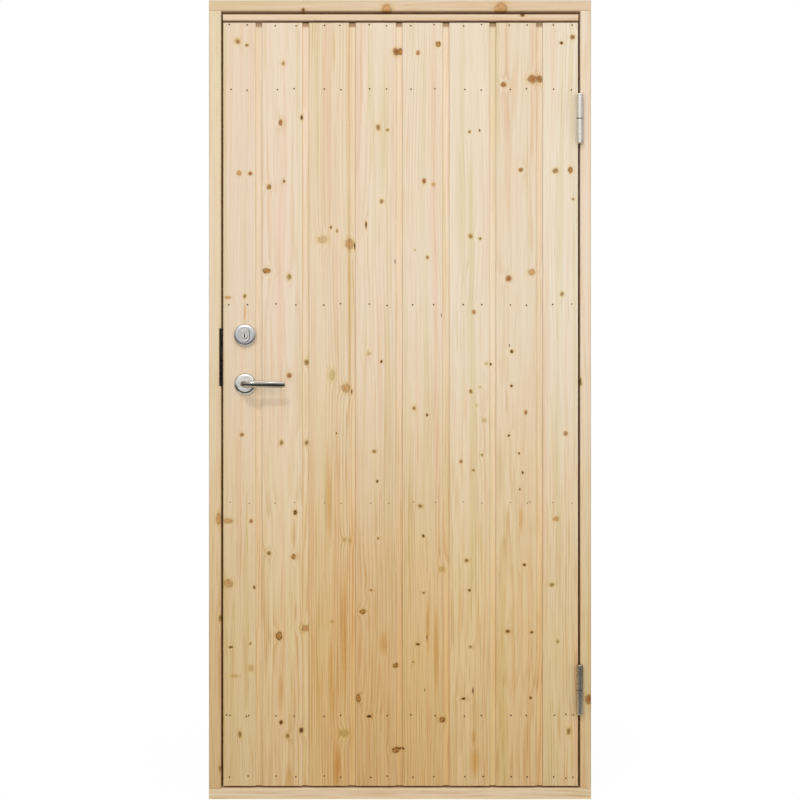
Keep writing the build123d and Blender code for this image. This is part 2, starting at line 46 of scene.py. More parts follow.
class Mark:
    """One socket of a finish, so that shader sums read as plain sums."""

    def __init__(self, tree, socket):
        self.tree = tree
        self.socket = socket

    def node(self, kind, settings=None, sockets=None, out=0):
        made = self.tree.nodes.new(kind)
        for key, value in (settings or {}).items():
            setattr(made, key, value)
        for key, value in (sockets or {}).items():
            if isinstance(value, Mark):
                self.tree.links.new(value.socket, made.inputs[key])
            else:
                made.inputs[key].default_value = value
        if isinstance(out, tuple):
            return [Mark(self.tree, made.outputs[one]) for one in out]
        return Mark(self.tree, made.outputs[out])

    def math(self, operation, first, second=0.0):
        return self.node("ShaderNodeMath", {"operation": operation}, {0: first, 1: second})

    def __add__(self, other):
        return self.math("ADD", self, other)

    def __radd__(self, other):
        return self.math("ADD", other, self)

    def __sub__(self, other):
        return self.math("SUBTRACT", self, other)

    def __rsub__(self, other):
        return self.math("SUBTRACT", other, self)

    def __mul__(self, other):
        return self.math("MULTIPLY", self, other)

    def __rmul__(self, other):
        return self.math("MULTIPLY", other, self)

    def __truediv__(self, other):
        return self.math("DIVIDE", self, other)

    def __rtruediv__(self, other):
        return self.math("DIVIDE", other, self)

    def vector(self, operation, first, *others):
        sockets = {0: first}
        for number, other in enumerate(others, start=1):
            sockets[number] = other
        return self.node("ShaderNodeVectorMath", {"operation": operation}, sockets)

    def length(self):
        return self.node("ShaderNodeVectorMath", {"operation": "LENGTH"}, {0: self}, out="Value")

    def step(self, low, high):
        """0 at low and 1 at high, eased; low may be the larger."""
        ranges = {"Value": self, "From Min": low, "From Max": high}
        return self.node("ShaderNodeMapRange", {"interpolation_type": "SMOOTHSTEP"}, ranges)

    def over(self, under, colour, blend="MIX"):
        """colour laid over another one, as strongly as this mask says."""
        settings = {"data_type": "RGBA", "blend_type": blend}
        return self.node("ShaderNodeMix", settings, {0: self, 6: under, 7: colour}, out=2)

    def into(self, shader, name):
        self.tree.links.new(self.socket, shader.inputs[name])


def tint(red, green, blue):
    """A colour written as 0 to 255, for a shader socket."""
    parts = [((part / 255 + 0.055) / 1.055) ** 2.4 for part in (red, green, blue)]
    return (*parts, 1.0)


def finish(name, **fixed):
    """A new material, its shader, and the place on the object in millimetres."""
    made = bpy.data.materials.new(name)
    made.use_nodes = True
    shader = made.node_tree.nodes["Principled BSDF"]
    for key, value in fixed.items():
        shader.inputs[key.replace("_", " ")].default_value = value
    start = made.node_tree.nodes.new("ShaderNodeTexCoord")
    metres = Mark(made.node_tree, start.outputs["Object"])
    place = metres.vector("MULTIPLY", metres, (1000, 1000, 1000))
    return made, shader, place


def dress(material, *names):
    """The finish of one or more CAD nodes."""
    for name in names:
        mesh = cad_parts[name].data
        mesh.materials.clear()
        mesh.materials.append(material)


# Millimetres: a year ring, how deep a knot goes, how far its edge strays,
# and the heights between which the tone warms, partly the wood's own tone and partly painted light falling
# off downwards.
RING = 5.6
KNOT_DEPTH = 35
KNOT_STRAY = 5
TONE_TOP = 1210
TONE_LOW = 230

# Depths in the row frame between which painted shade sets in: on the channel floors, and over the boards'
# tops.
CHANNEL_FROM = -40.6
CHANNEL_FULL = -39.0
GAP_FROM = -19.0
GAP_FULL = -22.0

WARM_HALO = tint(247, 231, 190)
GREEN_HALO = tint(246, 238, 194)
KNOT_BARK = tint(72, 36, 2)
SLIT_BROWN = tint(104, 70, 22)
STAIN = tint(234, 200, 136)
HONEY = tint(241, 217, 174)
ROSY = tint(250, 237, 230)
GREENISH = tint(241, 241, 221)
LATE_WOOD = tint(230, 208, 174)
# Painted shade for the channel heads, the joints and the rail behind the gap; painted light for the
# channel's arris and floor.
NOTCH_SHADE = tint(190, 172, 152)
SEAM_SHADE = tint(212, 198, 180)
ARRIS_HIGHLIGHT = tint(246, 226, 184)
GAP_SHADE = tint(96, 74, 52)
CHANNEL_LIGHT = (1.08, 1.075, 1.06, 1.0)

# For each kind of knot: halo, body colour and depth, core colour and depth, depth of the bark ring.
KNOT_LOOKS = {
    "faint": (GREEN_HALO, tint(162, 130, 74), 0.28, tint(130, 98, 50), 0.10, 0.10),
    "olive": (GREEN_HALO, tint(170, 136, 72), 0.68, tint(118, 84, 32), 0.72, 0.15),
    "tan": (WARM_HALO, tint(212, 164, 104), 0.72, tint(168, 112, 58), 0.45, 0.40),
    "red": (WARM_HALO, tint(196, 142, 84), 0.82, tint(130, 74, 28), 0.78, 0.45),
    "brown": (WARM_HALO, tint(140, 100, 44), 0.90, tint(80, 48, 12), 0.95, 0.20),
    "ringed": (WARM_HALO, tint(202, 148, 74), 0.88, tint(148, 92, 32), 0.60, 0.85),
}


def nearest(place, spots, front=None):
    """How near the closest of some oval spots is: 1 on its edge, 0 at its middle.

    A spot goes right through the timber, or from its front KNOT_DEPTH inwards.
    """
    closest = None
    for x, z, half_wide, half_tall in spots:
        scale = (1 / half_wide, 0, 1 / half_tall)
        shift = (-x / half_wide, 0, -z / half_tall)
        if front is not None:
            scale = (1 / half_wide, 1 / KNOT_DEPTH, 1 / half_tall)
            shift = (-x / half_wide, -front / KNOT_DEPTH, -z / half_tall)
        reach = place.vector("MULTIPLY_ADD", place, scale, shift).length()
        closest = reach if closest is None else place.math("MINIMUM", closest, reach)
    return closest


def pine(
    name, pale, warm, heart, seed, lying=False, knots=None, front=None, late=0.55, edges=None, gap=None
):
    """Planed pine: rings round a heart line, streaks, fibres, knots, slits and stains.

    It is pale high up and warm low down, partly its own tone and partly painted light falling off
    downwards.
    edges are a board's top, joint, arris and lip, and gap is the height of the boards' tops,
    behind which the rail is painted in shade.
    """
    wood, shader, place = finish(name, Specular_IOR_Level=0.12)
    knots = knots or {}
    top, joint, arris, lip = edges or (None, None, None, None)
    x, y, z = place.node("ShaderNodeSeparateXYZ", None, {0: place}, out=(0, 1, 2))
    if lying:
        grain = place.node("ShaderNodeCombineXYZ", None, {0: z, 1: y, 2: x})
    else:
        grain = place
    moved = grain.vector("ADD", grain, (seed * 311.0, seed * 173.0, seed * 947.0))

    def noise(across, along, detail=2.0, out=0):
        at = moved.vector("MULTIPLY", moved, (across, across, along))
        sockets = {"Vector": at, "Scale": 1.0, "Detail": detail}
        return at.node("ShaderNodeTexNoise", None, sockets, out=out)

    jitter = noise(0.11, 0.11, 3.0, out="Color")
    flecks = noise(0.21, 0.21, 2.0)
    stray = (KNOT_STRAY, 0, KNOT_STRAY)
    back = (-KNOT_STRAY / 2, 0, -KNOT_STRAY / 2)
    ragged = place.vector("ADD", place, jitter.vector("MULTIPLY_ADD", jitter, stray, back))
    reach = {}
    for kind, spots in knots.items():
        reach[kind] = nearest(ragged, spots, front)

    bend = None
    for kind in KNOT_LOOKS:
        if kind in reach:
            swell = 1.0 / (reach[kind] * reach[kind] * 0.5 + 1.0)
            bend = swell if bend is None else place.math("MAXIMUM", bend, swell)

    sway = moved.vector("MULTIPLY", moved, (0.0, 0.0, 0.0017))
    slow = {"Vector": sway, "Scale": 1.0, "Detail": 1.0}
    sway = sway.node("ShaderNodeTexNoise", None, slow, out="Color")
    sway = sway.vector("MULTIPLY_ADD", sway, (16, 30, 0), (-8 - heart[0], -15 - heart[1], 0))
    centred = grain.vector("MULTIPLY_ADD", grain, (1, 1, 0), sway)
    phase = centred.length() / RING + noise(0.035, 0.0015) * 2.4 + noise(0.13, 0.0020) * 1.3
    if bend is not None:
        phase = phase + bend * 1.5
    turn = place.math("FRACT", phase)
    ring = turn.step(0.45, 0.90) * turn.step(1.0, 0.92)

    bands = noise(0.045, 0.0011)
    streaks = noise(0.19, 0.0060, 3.0)
    lines = noise(0.36, 0.0085, 2.0)
    fibres = noise(0.9, 0.014, 4.0)
    strong = noise(0.022, 0.0018).step(0.36, 0.66)

    # Pale high up and warm low down: partly the wood's own tone, partly painted light.
    height = z.step(TONE_TOP, TONE_LOW)
    colour = height.over(pale, warm)
    colour = (bands.step(0.50, 0.72) * 0.75).over(colour, ROSY, "MULTIPLY")
    colour = (bands.step(0.48, 0.28) * 0.75).over(colour, GREENISH, "MULTIPLY")
    colour = (streaks.step(0.50, 0.78) * (0.28 + 0.42 * height)).over(colour, HONEY, "MULTIPLY")
    grain_mask = ring * (0.15 + 0.85 * strong) * (0.6 + 0.5 * height) * late
    colour = grain_mask.over(colour, LATE_WOOD, "MULTIPLY")
    colour = (lines.step(0.52, 0.78) * (0.27 + 0.43 * height)).over(colour, LATE_WOOD, "MULTIPLY")
    colour = (fibres.step(0.52, 0.80) * 0.22).over(colour, LATE_WOOD, "MULTIPLY")

    # Painted light: the arris at the channel's left edge and the channel floor are lightened against the
    # shade that falls there.
    if arris is not None:
        arris_light = x.step(arris - 1.9, arris - 1.1) * x.step(arris + 1.8, arris + 0.6)
        colour = (arris_light * 0.40).over(colour, ARRIS_HIGHLIGHT)
        channel = x.step(arris + 0.8, arris + 2.6) * (0.55 + 0.35 * height)
        colour = channel.over(colour, CHANNEL_LIGHT, "MULTIPLY")
    relief = ring * 0.5 + fibres * 0.5
    rough = 0.50 + fibres * 0.16 - grain_mask * 0.10
    for kind, depth in (("stains", 1.0), ("blush", 0.55)):
        if kind in reach:
            stain = reach[kind].step(1.25, 0.15) * (0.35 + 0.60 * streaks) * depth
            colour = stain.over(colour, STAIN, "MULTIPLY")
    for kind, (halo, body, body_depth, core, core_depth, ring_depth) in KNOT_LOOKS.items():
        if kind in reach:
            q = reach[kind]
            mottle = 0.35 + 0.75 * flecks.step(0.30, 0.62)
            colour = (q.step(2.4, 0.85) * 0.6).over(colour, halo, "MULTIPLY")
            colour = (q.step(1.25, 0.70) * body_depth).over(colour, body)
            colour = (q.step(0.95, 0.35) * mottle * core_depth).over(colour, core)
            patchy = 0.40 + 0.60 * flecks.step(0.56, 0.42)
            bark = q.step(0.52, 0.84) * q.step(1.28, 1.00) * patchy
            colour = (bark * ring_depth).over(colour, KNOT_BARK)
            relief = relief + q.step(1.2, 0.8) * 0.6
            rough = rough - q.step(1.2, 0.6) * 0.10
    if "slits" in reach:
        q = reach["slits"]
        colour = (q.step(1.3, 0.4) * 0.85).over(colour, SLIT_BROWN)
        relief = relief - q.step(1.2, 0.5) * 1.5
    # Painted shadow of the top strip on the channel floors just under it.
    if top is not None:
        notch = y.step(CHANNEL_FROM, CHANNEL_FULL) * z.step(top - 12, top - 5)
        colour = notch.over(colour, NOTCH_SHADE, "MULTIPLY")
    # Painted shade in the joint between the boards, on both sides of it.
    if joint is not None:
        colour = (x.step(joint + 2.4, joint + 0.8) * 0.12).over(colour, SEAM_SHADE, "MULTIPLY")
    if lip is not None:
        colour = (x.step(lip - 2.6, lip - 0.6) * 0.05).over(colour, SEAM_SHADE, "MULTIPLY")
    # Painted shade on the rail face seen through the gap over the boards' tops.
    if gap is not None:
        hidden = y.step(GAP_FROM, GAP_FULL) * z.step(gap - 3, gap + 1)
        colour = hidden.over(colour, GAP_SHADE, "MULTIPLY")

    colour.into(shader, "Base Color")
    rough.into(shader, "Roughness")
    bump = {"Strength": 0.35, "Distance": 0.0005, "Height": relief}
    relief.node("ShaderNodeBump", None, bump).into(shader, "Normal")
    return wood


# Each mark in the wood: its middle across and up, then half its width and height, in millimetres.
frame_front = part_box("head")[0][1] * 1000
lock_jamb_knots = {
    "tan": [(-422, 652, 5.5, 13)],
    "olive": [(-419, 421, 3.2, 8), (-419, 71, 3, 6)],
}
hinge_jamb_knots = {
    "red": [(440, 233, 8.5, 11)],
    "olive": [(421, 972, 2.5, 10)],
}
head_knots = {
    "tan": [(-31, 1838, 10.5, 11), (235, 1839, 13, 14)],
    "brown": [(-225, 1838, 4, 3.7)],
}
lock_jamb_pine = pine(
    "lock_jamb_pine",
    tint(230, 212, 180),
    tint(221, 191, 144),
    (-436, 70),
    1,
    knots=lock_jamb_knots,
    front=frame_front,
)
dress(lock_jamb_pine, "lock_jamb")
hinge_jamb_pine = pine(
    "hinge_jamb_pine",
    tint(235, 216, 193),
    tint(223, 199, 154),
    (470, 64),
    2,
    knots=hinge_jamb_knots,
    front=frame_front,
)
dress(hinge_jamb_pine, "hinge_jamb")
head_tone = tint(223, 199, 168)
head_pine = pine(
    "head_pine", head_tone, head_tone, (1790, 40), 3, lying=True, knots=head_knots, front=frame_front
)
dress(head_pine, "head")
sill_tone = tint(239, 218, 186)
dress(pine("sill_pine", sill_tone, sill_tone, (70, 60), 4, lying=True), "sill")

# Strike plate: a bent steel plate, painted black, let into the lock jamb.
# Two countersunk screws hold it above and below the latch and bolt holes.


def steel(name, colour, rough, metal, worn):
    """Metal with fine scratches, cloudy roughness and small worn spots."""
    made, shader, place = finish(name, Metallic=metal)
    at = place.vector("MULTIPLY", place, (0.5, 0.5, 0.5))
    cloud = at.node("ShaderNodeTexNoise", None, {"Vector": at, "Scale": 0.35, "Detail": 3.0})
    fine = at.node("ShaderNodeTexNoise", None, {"Vector": at, "Scale": 5.0, "Detail": 4.0})
    shade = (cloud.step(0.35, 0.70) * 0.5 + fine.step(0.45, 0.75) * 0.14).over(colour, worn)
    shade.into(shader, "Base Color")
    (rough + (cloud - 0.5) * 0.16 + (fine - 0.5) * 0.06).into(shader, "Roughness")
    bump = {"Strength": 0.02, "Distance": 0.0002, "Height": fine}
    fine.node("ShaderNodeBump", None, bump).into(shader, "Normal")
    return made


def screw_heads(name, radius, facing, places):
    """Countersunk heads with a cross recess, one mesh, each facing along facing."""
    rise = 0.25
    sink = 1.6
    slot_half = radius * 0.16
    slot_reach = radius * 0.62
    slot_deep = radius * 0.4
    first_turn = 0.4
    mesh = bmesh.new()
    turn = Vector((0, 0, 1)).rotation_difference(Vector(facing)).to_matrix().to_4x4()
    for number, place in enumerate(places):
        head = bmesh.new()
        bmesh.ops.create_cone(
            head, cap_ends=True, segments=16, radius1=radius * 0.6, radius2=radius, depth=sink + rise
        )
        bmesh.ops.translate(head, verts=head.verts, vec=(0, 0, rise - (sink + rise) / 2))
        for normal in ((1, 0, 0), (0, 1, 0)):
            for side in (-1, 1):
                for cut in (slot_half, slot_reach):
                    point = Vector(normal) * side * cut
                    bmesh.ops.bisect_plane(
                        head,
                        geom=head.verts[:] + head.edges[:] + head.faces[:],
                        plane_co=point,
                        plane_no=normal,
                    )
        recess = []
        for face in head.faces:
            middle = face.calc_center_median()
            long_way = max(abs(middle.x), abs(middle.y))
            short_way = min(abs(middle.x), abs(middle.y))
            if face.normal.z > 0.9 and long_way < slot_reach and short_way < slot_half:
                recess.append(face)
        sunk = bmesh.ops.extrude_face_region(head, geom=recess)
        bmesh.ops.delete(head, geom=recess, context="FACES")
        floor_points = [item for item in sunk["geom"] if isinstance(item, bmesh.types.BMVert)]
        bmesh.ops.translate(head, verts=floor_points, vec=(0, 0, -slot_deep))
        bmesh.ops.rotate(head, verts=head.verts, matrix=Matrix.Rotation(first_turn + number, 3, "Z"))
        bmesh.ops.transform(head, matrix=Matrix.Translation(place) @ turn, verts=head.verts)
        bmesh.ops.scale(head, vec=(0.001, 0.001, 0.001), verts=head.verts)
        bmesh.ops.recalc_face_normals(head, faces=head.faces)
        loose = bpy.data.meshes.new(name)
        head.to_mesh(loose)
        mesh.from_mesh(loose)
        head.free()
        bpy.data.meshes.remove(loose)
    data = bpy.data.meshes.new(name)
    mesh.to_mesh(data)
    mesh.free()
    made = bpy.data.objects.new(name, data)
    bpy.context.scene.collection.objects.link(made)
    return made


dress(steel("black_strike", tint(24, 22, 21), 0.42, 0.4, tint(48, 44, 41)), "strike_plate")
STRIKE_SCREW_R = 3.6
STRIKE_SCREW_Y = -19
LOW_SCREW_IN = 9
HIGH_SCREW_IN = 8
strike_low, strike_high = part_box("strike_plate")
strike_x = strike_high[0] * 1000
strike_places = [
    (strike_x, STRIKE_SCREW_Y, strike_low[2] * 1000 + LOW_SCREW_IN),
    (strike_x, STRIKE_SCREW_Y, strike_high[2] * 1000 - HIGH_SCREW_IN),
]
strike_screws = screw_heads("strike_screws", STRIKE_SCREW_R, (1, 0, 0), strike_places)
strike_screws.data.materials.append(
    steel("strike_screw_steel", tint(120, 116, 110), 0.36, 0.9, tint(160, 156, 150))
)
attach(strike_screws, "frame")

# Leaf core: two stiles and four rails of the same pine, glued up behind the boards.
# They show on the inner side only, and carry the lock and the hinges.

core_pale = tint(232, 211, 182)
core_warm = tint(222, 192, 148)
dress(pine("lock_stile_pine", core_pale, core_warm, (-350, 60), 5), "lock_stile")
dress(pine("hinge_stile_pine", core_pale, core_warm, (380, -70), 6), "hinge_stile")
boards_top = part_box("board_4")[1][2] * 1000
dress(pine("top_rail_pine", core_pale, core_pale, (1760, 50), 7, lying=True, gap=boards_top), "top_rail")
dress(pine("upper_mid_rail_pine", core_pale, core_pale, (1160, 60), 8, lying=True), "upper_mid_rail")
dress(pine("lower_mid_rail_pine", core_pale, core_warm, (680, -60), 9, lying=True), "lower_mid_rail")
dress(pine("bottom_rail_pine", core_warm, core_warm, (90, 70), 10, lying=True), "bottom_rail")

# Boarding: eight upright tongued boards of knotty pine and a strip across their top.
# Each board comes from another log, so each has a tone, a heart and knots of its own.

board_1_knots = {
    "tan": [(-400, 648, 9.5, 5.5), (-400, 502, 9.5, 8.5), (-375, 1458, 5, 5.5), (-401, 1168, 6.3, 3)],
    "red": [(-378, 1764, 3.4, 4), (-347, 647, 4, 4.4), (-368, 848, 4.8, 4.4), (-349, 1457, 5, 4)],
    "brown": [(-340, 492, 2.8, 4.2), (-394, 353, 5.4, 2.8)],
    "olive": [(-357, 1756, 3.8, 3.5), (-361, 1171, 3.8, 5), (-349, 361, 2.6, 3.3), (-373, 150, 4, 8)],
    "faint": [(-379, 1766, 6, 6.5), (-347, 304, 6.5, 6.5), (-386, 286, 9, 3.3)],
    "stains": [(-361, 1132, 4.2, 30)],
}
board_2_knots = {
    "ringed": [(-305, 1425, 4.8, 5.4), (-311, 1230, 8.4, 5.5), (-248, 564, 5.2, 5.6), (-282, 379, 6.6, 9)],
    "tan": [(-220, 396, 8.5, 7)],
    "red": [(-278, 1575, 4.4, 6.6), (-258, 986, 5.2, 6.2)],
    "brown": [(-229, 1587, 2.8, 5.8), (-270, 1439, 2.4, 3.6), (-245, 667, 4.4, 6.4), (-277, 178, 4.2, 5.6),
              (-230, 159, 5, 6.4)],
    "olive": [(-272, 1713, 3.2, 4.2), (-276, 829, 4.2, 6.4), (-218, 829, 4.6, 6.4), (-258, 1216, 5.4, 6.4),
              (-218, 1017, 5, 6.6), (-305, 572, 5.3, 5.2), (-262, 146, 4.4, 5.8)],
    "stains": [(-247, 614, 5.6, 42), (-278, 244, 6, 56), (-258, 47, 9.3, 38)],
}
board_3_knots = {
    "tan": [(-118, 1293, 9, 11), (-127, 957, 9, 9)],
    "brown": [(-161, 1331, 2.6, 3.5), (-106, 1288, 1.8, 8), (-112, 948, 1.7, 5), (-148, 852, 1.7, 2.4)],
    "olive": [(-147, 1323, 3.2, 4.1)],
    "faint": [(-181, 1303, 10.5, 8), (-158, 987, 6.5, 12), (-130, 603, 4.7, 4.7), (-117, 601, 3, 4.7),
              (-159, 413, 3.5, 3.3), (-131, 153, 11, 8)],
    "blush": [(-155, 1745, 5, 70), (-121, 1640, 5, 260), (-119, 1200, 6, 337)],
    "stains": [(-166, 705, 8, 130), (-130, 369, 8, 186), (-147, 72, 11.6, 64), (-161, 276, 7, 140)],
}
board_4_knots = {
    "ringed": [(1, 1742, 5.5, 7), (-87, 436, 6.6, 5.2), (-97, 234, 5, 8.4), (-10.4, 310, 5.4, 4.8),
               (-10, 113, 8, 6.2)],
    "red": [(-10, 1741, 7, 8.4), (-67, 486, 3.5, 2.7)],
    "brown": [(-79, 1337, 2.5, 8.6), (-44, 1019, 2.6, 3.4), (-53, 739, 2.9, 3.4), (-72, 192, 6, 3.7),
              (0, 117, 5.5, 2.4)],
    "olive": [(-51, 1564, 4.6, 7), (-29, 1558, 3.7, 3.6), (-43.5, 1392, 3.8, 5.2), (-60, 809, 4.6, 4.2),
              (-51, 607, 2.8, 2.7)],
    "faint": [(-73, 1037, 4.2, 4.6)],
    "slits": [(-11.6, 1251, 1.6, 6)],
    "blush": [(-45, 707, 3, 20), (-43, 533, 3, 36)],
    "stains": [(-39, 361, 10.5, 31)],
}
board_5_knots = {
    "ringed": [(89, 1758, 5.2, 6.4), (98, 184, 5.8, 6)],
    "tan": [(78, 1431, 3.8, 3.8)],
    "red": [(42, 1738, 4, 4.8), (56, 1439, 4.2, 6)],
    "brown": [(63, 894, 2.7, 4.1), (54, 612, 2.8, 3.4), (41, 360, 4.7, 2.9), (8, 117, 3, 2.2)],
    "olive": [(64, 1261, 3.6, 4.7), (47, 682, 5.8, 4.1), (55, 480, 3.7, 2.7), (30, 318, 2.6, 2.2),
              (35, 1279, 2, 2), (33, 910, 4.2, 5.2)],
    "faint": [(98, 534, 6, 5)],
    "slits": [(97, 1127, 1.5, 6), (63, 376, 1.7, 8.4), (57, 253, 1.5, 4.5)],
    "blush": [(63, 591, 3, 26)],
    "stains": [(65, 399, 5.8, 87), (84, 346, 7, 116)],
}
board_6_knots = {
    "red": [(172, 1134, 3.8, 4.4), (142, 786, 3.4, 3.8)],
    "brown": [(185, 1557, 2.2, 3.3), (212, 1013, 2.5, 2.9), (162, 486, 3.2, 3.4), (148, 233, 4.9, 2.9)],
    "olive": [(162, 1554, 3.1, 3.2), (187, 1305, 3.3, 3.6), (191, 801, 3, 3.5), (171, 766, 2.9, 3.5),
              (155, 555, 5.4, 4.8), (164, 354, 3.3, 3), (164, 1311, 4.8, 5.6), (165, 949, 3.8, 4.6)],
    "faint": [(186, 959, 3.2, 2.8), (177, 917, 2, 3.2), (201, 1014, 3.9, 3.9), (196, 882, 4.8, 4.2)],
    "slits": [(170, 252, 2.4, 9)],
    "stains": [(175, 86, 15, 41), (172, 141, 6, 23)],
}
board_7_knots = {
    "tan": [(307, 1227, 8, 6.2)],
    "red": [(241, 1664, 6.4, 6), (308, 1677, 10, 9), (325.5, 1678, 7.5, 8.4), (253, 1212, 6.6, 6.6),
            (282, 1465, 4.8, 4.2), (293, 900, 3.5, 5.4)],
    "brown": [(261, 1042, 4.1, 4.1), (260, 962, 3.1, 3.1), (254, 846, 2.9, 2.7), (277, 805, 2.4, 2.7),
              (286, 760, 2.4, 3.7), (280, 721, 2.2, 2.7), (290, 545, 3.8, 3.8), (251, 390, 4.7, 3.9),
              (307, 388, 3.6, 3.1), (304, 235, 3.1, 3.4)],
    "slits": [(255, 1056, 1.6, 4.2), (303, 691, 1.2, 3.6)],
    "stains": [(282, 654, 5, 37)],
}
board_8_knots = {
    "ringed": [(397, 1465, 5.2, 6.4)],
    "tan": [(364, 652, 6, 5.4)],
    "red": [(386, 851, 4.8, 4.8), (402, 1774, 5, 5.4)],
    "brown": [(376, 1761, 3.7, 3.7)],
    "olive": [(403, 1397, 2.8, 3), (367, 366, 3.7, 3.9), (362, 1463, 7, 6.2), (378, 1176, 4.9, 5.3),
              (354, 498, 5.2, 4.5), (393, 157, 5.3, 8.2)],
}

# For each board: tone high up and low down, heart of its log, seed, knots, depth of its late wood.
boards = [
    ("board_1", tint(232, 212, 187), tint(227, 200, 155), (-470, 20), 11, board_1_knots, 0.50),
    ("board_2", tint(234, 215, 191), tint(229, 203, 157), (-268, 62), 12, board_2_knots, 0.60),
    ("board_3", tint(231, 212, 183), tint(225, 192, 137), (-60, 30), 13, board_3_knots, 0.80),
    ("board_4", tint(234, 215, 190), tint(222, 188, 135), (-130, 35), 14, board_4_knots, 0.60),
    ("board_5", tint(234, 216, 191), tint(224, 192, 137), (150, 25), 15, board_5_knots, 0.60),
    ("board_6", tint(235, 218, 194), tint(229, 201, 151), (100, 40), 16, board_6_knots, 0.50),
    ("board_7", tint(233, 215, 189), tint(227, 198, 147), (246, 52), 17, board_7_knots, 0.75),
    ("board_8", tint(236, 222, 200), tint(229, 203, 159), (470, 30), 18, board_8_knots, 0.60),
]
TONGUE_L = 7
LIP_W = 14.75
for name, pale, warm, heart, seed, knots, late in boards:
    board_low, board_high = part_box(name)
    joint = None if name == "board_1" else board_low[0] * 1000
    lip = None if name == "board_8" else board_high[0] * 1000 - TONGUE_L
    arris = None if lip is None else lip - LIP_W
    edges = (board_high[2] * 1000, joint, arris, lip)
    wood = pine(name + "_pine", pale, warm, heart, seed, knots=knots, late=late, edges=edges)
    dress(wood, name)
strip_tone = tint(230, 206, 176)
strip_knots = {"brown": [(285, 1825, 5, 4.2)]}
strip_pine = pine("top_strip_pine", strip_tone, strip_tone, (1790, 40), 19, lying=True, knots=strip_knots)
dress(strip_pine, "top_strip")

# Board nails: two small steel nails in each board in six rows, with thinner ones in the fourth row.
# They are driven nearly flush and have darkened; four extra ones sit low on the outer boards.

NAIL_R = 1.9
PIN_R = 1.3
NAIL_TAPER = 0.7
NAIL_RISE = 0.3
NAIL_SINK = 1.0
CROWN_IN = PIN_R * 0.45
CROWN_RISE = 0.18
STRAY_ACROSS = 3
STRAY_UP = 2
nail_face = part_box("board_4")[0][1] * 1000
nail_rows = (
    (1802, NAIL_R), (1652.5, NAIL_R), (1151.5, NAIL_R), (690, PIN_R), (193.5, NAIL_R), (51, NAIL_R)
)
nail_columns = (
    -396, -354, -288, -245, -177, -140, -70, -29, 28, 80, 149, 191, 257, 297, 358, 401
)
nail_spots = [
    (386.5, 197, NAIL_R), (386.5, 48, NAIL_R), (-404, 195, NAIL_R), (-358, 192, NAIL_R)
]
wander = random.Random(8)
for row, radius in nail_rows:
    for column in nail_columns:
        across = column + wander.uniform(-STRAY_ACROSS, STRAY_ACROSS)
        up = row + wander.uniform(-STRAY_UP, STRAY_UP)
        nail_spots.append((across, up, radius))
nails = bmesh.new()
for column, row, radius in nail_spots:
    facing = Matrix.Translation((column, nail_face, row)) @ Matrix.Rotation(math.pi / 2, 4, "X")
    bmesh.ops.create_cone(
        nails,
        cap_ends=True,
        segments=10,
        radius1=radius * NAIL_TAPER,
        radius2=radius,
        depth=NAIL_RISE + NAIL_SINK,
        matrix=facing @ Matrix.Translation((0, 0, NAIL_RISE - (NAIL_RISE + NAIL_SINK) / 2)),
    )
nails.normal_update()
crowns = [face for face in nails.faces if face.normal.y < -0.9]
bmesh.ops.inset_individual(nails, faces=crowns, thickness=CROWN_IN, depth=CROWN_RISE)
bmesh.ops.scale(nails, vec=(0.001, 0.001, 0.001), verts=nails.verts)
bmesh.ops.recalc_face_normals(nails, faces=nails.faces)
nail_mesh = bpy.data.meshes.new("board_nails")
nails.to_mesh(nail_mesh)
nails.free()
board_nails = bpy.data.objects.new("board_nails", nail_mesh)
bpy.context.scene.collection.objects.link(board_nails)
nail_steel = steel("nail_steel", tint(64, 40, 20), 0.85, 0.0, tint(128, 94, 58))
nail_steel.node_tree.nodes["Principled BSDF"].inputs["Specular IOR Level"].default_value = 0.1
board_nails.data.materials.append(nail_steel)
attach(board_nails, "leaf")

# Lock case: a mortice case of zinc-plated steel in the lock stile, with its latch.
# Its forend lies flush in the leaf's edge, held by a screw at each end.

dress(steel("lock_plated_steel", tint(196, 194, 188), 0.32, 0.95, tint(168, 165, 158)), "lock_case")
FOREND_SCREW_R = 3.4
FOREND_SCREW_IN = 11
forend_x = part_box("lock_stile")[0][0] * 1000
forend_low, forend_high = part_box("lock_case")
forend_y = (forend_low[1] + forend_high[1]) * 500
forend_places = [
    (forend_x, forend_y, forend_low[2] * 1000 + FOREND_SCREW_IN),
    (forend_x, forend_y, forend_high[2] * 1000 - FOREND_SCREW_IN),
]
forend_screws = screw_heads("forend_screws", FOREND_SCREW_R, (-1, 0, 0), forend_places)
forend_screws.data.materials.append(
    steel("forend_screw_steel", tint(180, 178, 172), 0.34, 0.95, tint(140, 137, 130))
)
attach(forend_screws, "leaf")

# Hinges: two lift-off hinges of bright zinc-plated steel, pin half on the jamb.
# Their plates are let in flush, with three screws each, and a ring lies between the halves.
# The lower hinge has a darker, warmer copy of the zinc: painted shade.

zinc = steel("zinc_plate", tint(228, 224, 214), 0.27, 0.95, tint(202, 199, 193))
dress(zinc, "upper_hinge_frame_half", "upper_hinge_leaf_half")
shaded_zinc = steel("shaded_zinc_plate", tint(186, 176, 156), 0.27, 0.95, tint(164, 156, 141))
dress(shaded_zinc, "lower_hinge_frame_half", "lower_hinge_leaf_half")
dress(
    steel("hinge_ring", tint(66, 62, 58), 0.45, 0.7, tint(96, 90, 84)),
    "upper_hinge_washer",
    "lower_hinge_washer",
)
hinge_screw_steel = steel("hinge_screw_steel", tint(188, 189, 192), 0.32, 0.95, tint(150, 152, 158))
HINGE_GAP = 5
HINGE_SCREW_R = 3.8
LEAF_SCREWS = ((-30, 13), (-20, 30), (-30, 47))
JAMB_SCREWS = ((-34, 12), (-24, 29), (-34, 46))
leaf_edge_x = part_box("board_8")[1][0] * 1000
jamb_edge_x = leaf_edge_x + HINGE_GAP
